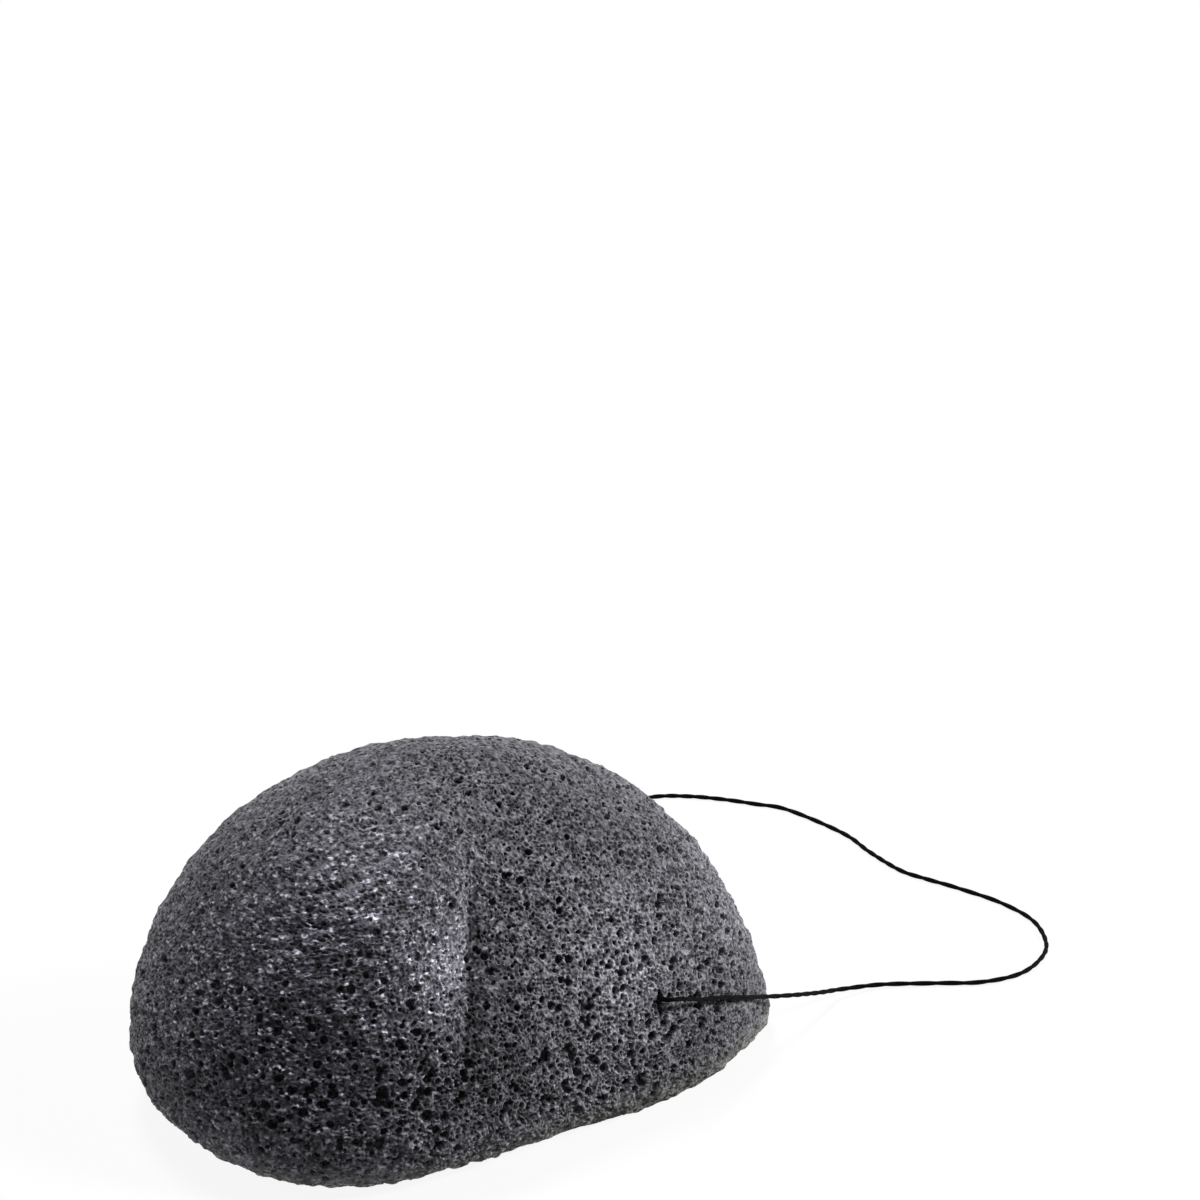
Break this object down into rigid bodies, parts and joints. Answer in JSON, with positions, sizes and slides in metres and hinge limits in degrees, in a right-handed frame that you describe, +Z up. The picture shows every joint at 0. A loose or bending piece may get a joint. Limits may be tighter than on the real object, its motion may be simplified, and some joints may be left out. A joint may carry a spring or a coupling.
{
  "type": "konjac sponge",
  "caption": "Lopsided half-ball facial sponge of porous charcoal foam, flat underneath, grooved in front, with a thin twisted hanging cord looped through it.",
  "frame": {"origin": "on the table plane, under the middle of the dome", "axes": "+X along the sponge's length towards the end with the cord, +Y to the back, away from the grooved front, +Z up"},
  "size_m": [0.1209, 0.0836, 0.0415],
  "materials": {
    "foam": "dry open-cell konjac foam with charcoal, matt with fine glints",
    "cord": "black two-ply twisted cord, slightly waxed"
  },
  "bodies": {
    "sponge": {"sponge": "foam"},
    "cord": {"cord_run": "cord", "cord_knot": "cord", "cord_loop": "cord"}
  },
  "joints": [
    {"name": "cord_swing", "type": "hinge", "parent": "sponge", "child": "cord", "pos_m": [0.0185, 0, 0.0145], "axis": [0, -1, 0], "range_deg": [0, 90]}
  ]
}
